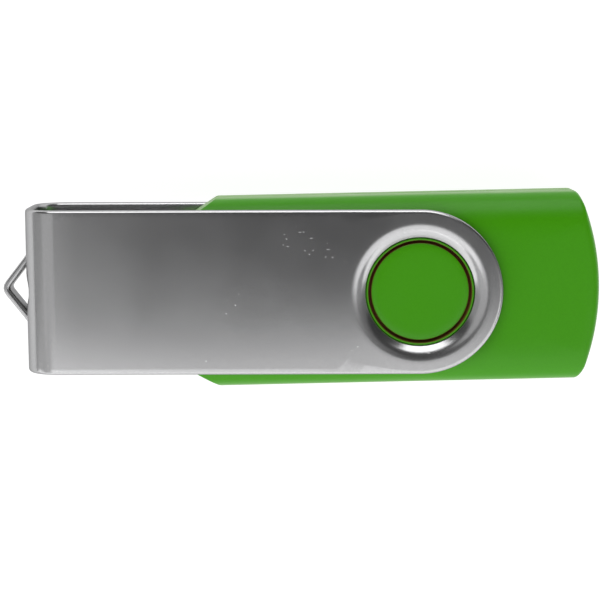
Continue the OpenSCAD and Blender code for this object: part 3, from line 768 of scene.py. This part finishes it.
def clip_metal(clip):
    """Blasted stainless steel with a fine grain, slow drifts in gloss, specks and scratches."""
    nodes = Nodes("clip_metal")
    nodes.set(Metallic=1.0, Specular_Tint=(0.45, 0.45, 0.45, 1))
    here = nodes.place(offset=tuple(SWIVEL))
    grain = nodes.noise(here, 7.0, 3.0, 0.6)
    patches = nodes.noise(here, 0.12, 2.0)
    rough = nodes.ramp(patches, 0.3, 0.7, clip.roughness - 0.015, clip.roughness + 0.015)
    rough = nodes.maths("ADD", rough, nodes.ramp(grain, 0.3, 0.7, -0.003, 0.003))
    # Tiny specks and short scratches, most of them in one worn spot of the upper arm
    dots = nodes.voronoi(here, 0.9, voronoi_dimensions="2D")
    lines = nodes.voronoi(nodes.place(scale=(0.16, 1.3, 1), turn=0.6), 0.9, voronoi_dimensions="2D")
    speck = nodes.maths("MAXIMUM", nodes.ramp(dots, 0.04, 0.09, 1.0, 0.0),
                        nodes.ramp(lines, 0.01, 0.04, 1.0, 0.0))
    spot = nodes.add("VectorMath", {0: here, 1: WORN_SPOT}, operation="DISTANCE").outputs["Value"]
    worn = nodes.maths("ADD", nodes.noise(here, 0.3, 1.0), nodes.ramp(spot, 1.0, 7.0, 0.28, 0.0))
    speck = nodes.maths("MULTIPLY", speck, nodes.ramp(worn, 0.68, 0.74, 0.0, 1.0))
    pale = tuple(min(1.0, c * 1.7) for c in clip.colour)
    tint = nodes.mix_colour(nodes.ramp(grain, 0.2, 0.8, 0.0, 1.0),
                            tuple(c * 0.93 for c in clip.colour),
                            tuple(c * 1.05 for c in clip.colour))
    nodes.to(Base_Color=nodes.mix_colour(speck, tint, pale), Roughness=rough)
    height = nodes.bump(grain, 0.0006)
    nodes.to(Normal=nodes.bump(speck, 0.004, normal=height))
    return nodes.material


def green_plastic(h):
    """Matt moulded plastic: spark-eroded grain, a slow drift in gloss and painted shade in the
    groove round each boss.
    """
    nodes = Nodes("green_plastic")
    nodes.set(IOR=1.5, Specular_IOR_Level=0.22, Sheen_Weight=0.3, Sheen_Roughness=0.35,
              Sheen_Tint=(1, 0.9, 0.6, 1))
    here = nodes.place(offset=tuple(SWIVEL))
    grain = nodes.noise(here, 9.0, 4.0, 0.65)
    drift = nodes.noise(here, 0.15, 2.0)
    dark = tuple(c * 0.93 for c in h.colour)
    light = tuple(c * 1.06 for c in h.colour)
    tint = nodes.mix_colour(nodes.ramp(grain, 0.25, 0.75, 0.0, 1.0), dark, light)
    # Painted shade: the narrow groove around each boss is coloured dark brown, for the shadow deep
    # in the gap
    flat = nodes.add("VectorMath", {0: here, 1: (1, 1, 0)}, operation="MULTIPLY")
    length = nodes.add("VectorMath", {0: flat.outputs["Vector"]}, operation="LENGTH")
    radius = length.outputs["Value"]
    inside = nodes.ramp(radius, h.boss / MM - 0.06, h.boss / MM - 0.01, 0.0, 1.0)
    outside = nodes.ramp(radius, h.collar_inner / MM - 0.02, h.collar_inner / MM + 0.06, 1.0, 0.0)
    # The groove's ring of painted shade is mixed over the plastic's colour
    tint = nodes.mix_colour(nodes.maths("MULTIPLY", inside, outside), tint, (0.15, 0.05, 0.02))
    nodes.to(Base_Color=tint,
             Roughness=nodes.ramp(drift, 0.3, 0.7, h.roughness - 0.03, h.roughness + 0.03),
             Normal=nodes.bump(grain, 0.004))
    return nodes.material


def plated_metal(name, colour, roughness, scale=(1, 1, 1)):
    """Plated or tinned metal with fine drawing lines and slow patches of wear."""
    nodes = Nodes(name)
    nodes.set(Metallic=1.0)
    lines = nodes.noise(nodes.place(scale=scale), 4.0, 3.0, 0.6)
    patches = nodes.noise(nodes.place(), 0.5, 3.0)
    dull = tuple(c * 0.94 for c in colour)
    rough = nodes.maths("ADD", nodes.ramp(lines, 0.3, 0.7, roughness - 0.02, roughness + 0.02),
                        nodes.ramp(patches, 0.4, 0.7, 0.02, -0.02))
    nodes.to(Base_Color=nodes.mix_colour(nodes.ramp(patches, 0.35, 0.65, 0.0, 1.0), dull, colour),
             Roughness=rough, Normal=nodes.bump(lines, 0.002))
    return nodes.material


def moulded(name, colour, roughness, grain=0.01, scale=6.0):
    """Moulded or fired material with a grain and a faint drift of colour."""
    nodes = Nodes(name)
    here = nodes.place()
    fine = nodes.noise(here, scale, 3.0, 0.6)
    slow = nodes.noise(here, 0.6, 2.0)
    dark = tuple(c * 0.9 for c in colour)
    nodes.to(Base_Color=nodes.mix_colour(nodes.ramp(slow, 0.3, 0.7, 0.0, 1.0), dark, colour),
             Roughness=nodes.ramp(fine, 0.3, 0.7, roughness - 0.05, roughness + 0.05),
             Normal=nodes.bump(fine, grain))
    return nodes.material


def board_laminate():
    """Green solder mask over copper tracks, with pale cut edges of glass laminate."""
    nodes = Nodes("board_laminate")
    nodes.set(IOR=1.5, Coat_Weight=0.4, Coat_Roughness=0.15)
    low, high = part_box("circuit_board")
    here = nodes.place(offset=tuple(low))
    cells = nodes.voronoi(here, 0.55, 0.8, feature="DISTANCE_TO_EDGE")
    tracks = nodes.ramp(cells, 0.03, 0.05, 1.0, 0.0)
    weave = nodes.add("TexWave", {"Vector": here, "Scale": 1.2, "Distortion": 1.5},
                      bands_direction="X").outputs["Fac"]
    height = nodes.add("SeparateXYZ", {0: here}).outputs["Z"]
    thickness = (high[2] - low[2]) / MM
    above = nodes.ramp(height, 0.02, 0.05, 0.0, 1.0)
    below = nodes.ramp(height, thickness - 0.05, thickness - 0.02, 1.0, 0.0)
    inside = nodes.maths("MULTIPLY", above, below)
    mask = nodes.mix_colour(tracks, (0.012, 0.11, 0.045), (0.03, 0.2, 0.075))
    edge = nodes.mix_colour(weave, (0.3, 0.33, 0.16), (0.42, 0.45, 0.25))
    nodes.to(Base_Color=nodes.mix_colour(inside, mask, edge),
             Roughness=nodes.ramp(inside, 0, 1, 0.3, 0.75), Normal=nodes.bump(tracks, 0.02))
    return nodes.material


def lens_resin():
    """Clear, faintly milky lens resin."""
    nodes = Nodes("clear_lens")
    nodes.set(IOR=1.5, Transmission_Weight=0.6)
    cloud = nodes.noise(nodes.place(), 2.0, 2.0)
    nodes.to(Base_Color=nodes.mix_colour(cloud, (0.86, 0.88, 0.8), (0.95, 0.96, 0.9)),
             Roughness=nodes.ramp(cloud, 0.3, 0.7, 0.12, 0.25))
    return nodes.material


# -------------------- operators


class BuildClip(bpy.types.Operator):
    """Builds the bent metal clip with its dished holes and lanced key loop"""

    bl_idname = "flash_drive.clip"
    bl_label = "Build the clip"

    def execute(self, context):
        clip, loop = context.scene.flash_clip, context.scene.flash_loop
        mesh = clip_surface(clip, loop).mesh("swivel_clip_metal", SWIVEL, [2])
        metal = clip_metal(clip)
        piece = show_piece("clip_body", mesh, "clip", ["swivel_clip"], metal)
        make_sheet(piece, clip.sheet, clip.edge, clamp=False)
        shade_by_area(piece)
        return {"FINISHED"}


class BuildHousing(bpy.types.Operator):
    """Builds the two halves of the plastic housing, each with its boss"""

    bl_idname = "flash_drive.housing"
    bl_label = "Build the housing"

    def execute(self, context):
        h = context.scene.flash_housing
        material = green_plastic(h)
        low, high = (np.array(v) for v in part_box("plug_shell"))
        gap = 0.05 * MM
        half_y, half_z = (high - low)[1:] / 2 + gap
        halves = (("housing_top", "upper_housing", 1), ("housing_base", "lower_housing", -1))
        for name, node, side in halves:
            surface = housing_surface(h, half_y, half_z)
            surface.points = [p * [1, 1, side] + SWIVEL for p in surface.points]
            mesh = surface.mesh(name)
            piece = show_piece(name, mesh, "drive", [node], material)
            shade_by_area(piece)
        return {"FINISHED"}


class BuildPlug(bpy.types.Operator):
    """Builds the plug's metal shell and finishes its tongue and contacts"""

    bl_idname = "flash_drive.plug"
    bl_label = "Build the plug"

    def execute(self, context):
        low, high = (np.array(v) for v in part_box("plug_shell"))
        mesh = plug_surface(low, high).mesh("plug_sleeve", (low + high) / 2, [1, 2])
        metal = plated_metal("plug_metal", (0.6, 0.595, 0.58), 0.3, (0.25, 1, 1))
        piece = show_piece("plug_sleeve", mesh, "drive", ["plug_shell"], metal)
        make_sheet(piece, 0.3 * MM, 0.08 * MM, clamp=True)
        shade_by_area(piece)
        finish_nodes(["plug_insulator"], moulded("white_plastic", (0.78, 0.77, 0.73), 0.42))
        gold = plated_metal("contact_gold", (0.86, 0.6, 0.22), 0.26, (0.3, 1, 1))
        finish_nodes(["power_contact", "data_minus_contact", "data_plus_contact",
                      "ground_contact"], gold)
        return {"FINISHED"}


class FinishBoard(bpy.types.Operator):
    """Finishes the circuit board, its solder, chips and small parts"""

    bl_idname = "flash_drive.board"
    bl_label = "Finish the board"

    def execute(self, context):
        black = moulded("chip_plastic", (0.022, 0.022, 0.024), 0.55, 0.012, 8.0)
        tin = plated_metal("tinned_lead", (0.7, 0.7, 0.69), 0.32)
        solder = plated_metal("solder", (0.62, 0.63, 0.63), 0.22)
        finish_nodes(["circuit_board"], board_laminate())
        finish_nodes(["contact_solder_joints", "plug_solder_joints"], solder)
        finish_nodes(["flash_chip", "controller_chip", "resistors"], black)
        finish_nodes(["flash_chip_leads", "controller_chip_leads", "crystal_lid",
                      "resistor_terminals", "capacitor_terminals"], tin)
        finish_nodes(["crystal_base"], moulded("ceramic", (0.42, 0.35, 0.26), 0.6))
        finish_nodes(["capacitors"], moulded("capacitor_ceramic", (0.4, 0.25, 0.13), 0.5))
        finish_nodes(["led_base"], moulded("led_plastic", (0.8, 0.79, 0.72), 0.45))
        finish_nodes(["led_lens"], lens_resin())
        return {"FINISHED"}


def finish_nodes(names, material):
    """Gives CAD nodes a material in place of their plain one."""
    for name in names:
        slots = frame["nodes"][name].data.materials
        slots.clear()
        slots.append(material)


class BuildStage(bpy.types.Operator):
    """Sets up the floor, the soft lights and the camera"""

    bl_idname = "flash_drive.stage"
    bl_label = "Build the stage"

    def execute(self, context):
        scene = context.scene
        stage = scene.flash_stage
        floor_mesh = bpy.data.meshes.new("floor")
        corners = np.array([(-1, -1, 0), (1, -1, 0), (1, 1, 0), (-1, 1, 0)]) * FLOOR_HALF_WIDTH
        floor_mesh.from_pydata(corners.tolist(), [], [(0, 1, 2, 3)])
        floor = bpy.data.objects.new("floor", floor_mesh)
        scene.collection.objects.link(floor)
        nodes = Nodes("pale_floor")
        nodes.set(Base_Color=(0.3, 0.3, 0.3, 1), Roughness=0.9, Emission_Color=(1, 1, 1, 1),
                  Emission_Strength=FLOOR_GLOW)
        floor_mesh.materials.append(nodes.material)

        world = bpy.data.worlds.new("studio")
        world.use_nodes = True
        background = world.node_tree.nodes["Background"].inputs
        background["Color"].default_value = (1, 1, 1, 1)
        background["Strength"].default_value = WORLD_STRENGTH
        scene.world = world
        centre = SWIVEL + [stage.aim_x, stage.aim_y, 0]
        for settings in STUDIO_LIGHTS:
            soft_light(scene, centre, *settings)

        camera_data = bpy.data.cameras.new("camera")
        camera_data.lens = stage.lens
        camera_data.clip_start = 0.01
        camera = bpy.data.objects.new("camera", camera_data)
        scene.collection.objects.link(camera)
        aim = SWIVEL + [stage.aim_x, stage.aim_y, SWIVEL[2]]
        back = np.array([0, math.sin(stage.tilt), math.cos(stage.tilt)])
        camera.location = aim + back * stage.distance
        # The camera's up direction is +Y, turned by its roll
        right = np.array([math.cos(stage.roll), math.sin(stage.roll), 0])
        right -= back * (right @ back)
        right /= np.linalg.norm(right)
        camera.rotation_euler = turn_to(right, back)
        scene.camera = camera
        scene.view_settings.view_transform = "Standard"
        return {"FINISHED"}


FLOOR_HALF_WIDTH = 3.0
FLOOR_GLOW = 0.87
WORLD_STRENGTH = 0.06
LIGHT_DISTANCE = 0.8
# Each light is a name, its middle's angles off the zenith towards +X and +Y, its half
# widths as angles across and along its tilt, and its radiance
STUDIO_LIGHTS = (
    ("near_softbox", 6, -30, 34, 17, 1.35),
    ("near_low_softbox", 0, -65, 70, 20, 1.4),
    ("near_left_softbox", -58, -46, 22, 20, 0.2),
    ("near_right_softbox", 58, -42, 22, 22, 0.22),
    ("far_softbox", 0, 62, 24, 20, 2.7),
    ("left_softbox", -30, -4, 24, 20, 0.62),
    ("left_low_softbox", -68, -4, 24, 18, 0.42),
    ("right_softbox", 49, -5, 16, 39, 0.19),
)


def turn_to(right, back):
    """The rotation of an object whose own X axis is right and whose own Z axis is back."""
    return Matrix([right, np.cross(back, right), back]).transposed().to_euler()


def soft_light(scene, centre, name, to_x, to_y, half_across, half_along, radiance):
    """A rectangular softbox that faces the centre, sized and lit by angle and radiance.

    Its power is pi times its radiance times its area.
    """
    back = np.array([math.tan(math.radians(to_x)), math.tan(math.radians(to_y)), 1])
    back /= np.linalg.norm(back)
    data = bpy.data.lights.new(name, "AREA")
    data.shape = "RECTANGLE"
    data.size = 2 * LIGHT_DISTANCE * math.tan(math.radians(half_across))
    data.size_y = 2 * LIGHT_DISTANCE * math.tan(math.radians(half_along))
    data.energy = math.pi * radiance * data.size * data.size_y
    light = bpy.data.objects.new(name, data)
    scene.collection.objects.link(light)
    light.location = centre + back * LIGHT_DISTANCE
    right = np.cross([0, 0, 1], back)
    right /= np.linalg.norm(right)
    light.rotation_euler = turn_to(right, back)


# -------------------- panel and registration

STEPS = (BuildClip, BuildHousing, BuildPlug, FinishBoard, BuildStage)


class DrivePanel(bpy.types.Panel):
    """Lists the steps that build the drive's looks"""

    bl_idname = "VIEW3D_PT_flash_drive"
    bl_label = "Flash drive"
    bl_space_type = "VIEW_3D"
    bl_region_type = "UI"
    bl_category = "Flash drive"

    def draw(self, context):
        for step in STEPS:
            self.layout.operator(step.bl_idname)
        for group in SETTINGS:
            settings = getattr(context.scene, group)
            for name in settings.bl_rna.properties.keys():
                if name not in ("rna_type", "name"):
                    self.layout.prop(settings, name)


SETTINGS = {"flash_clip": ClipSettings, "flash_loop": LoopSettings,
            "flash_housing": HousingSettings, "flash_stage": StageSettings}
CLASSES = (*SETTINGS.values(), *STEPS, DrivePanel)


def register():
    """Registers the classes and puts the settings on the scene."""
    for item in CLASSES:
        bpy.utils.register_class(item)
    for name, kind in SETTINGS.items():
        setattr(bpy.types.Scene, name, bpy.props.PointerProperty(type=kind))


def unregister():
    """Takes the settings and the classes away again."""
    for name in SETTINGS:
        delattr(bpy.types.Scene, name)
    for item in reversed(CLASSES):
        bpy.utils.unregister_class(item)


def main():
    """Builds the looks in order."""
    register()
    bpy.ops.flash_drive.clip()
    bpy.ops.flash_drive.housing()
    bpy.ops.flash_drive.plug()
    bpy.ops.flash_drive.board()
    bpy.ops.flash_drive.stage()


if __name__ == "__main__":
    main()
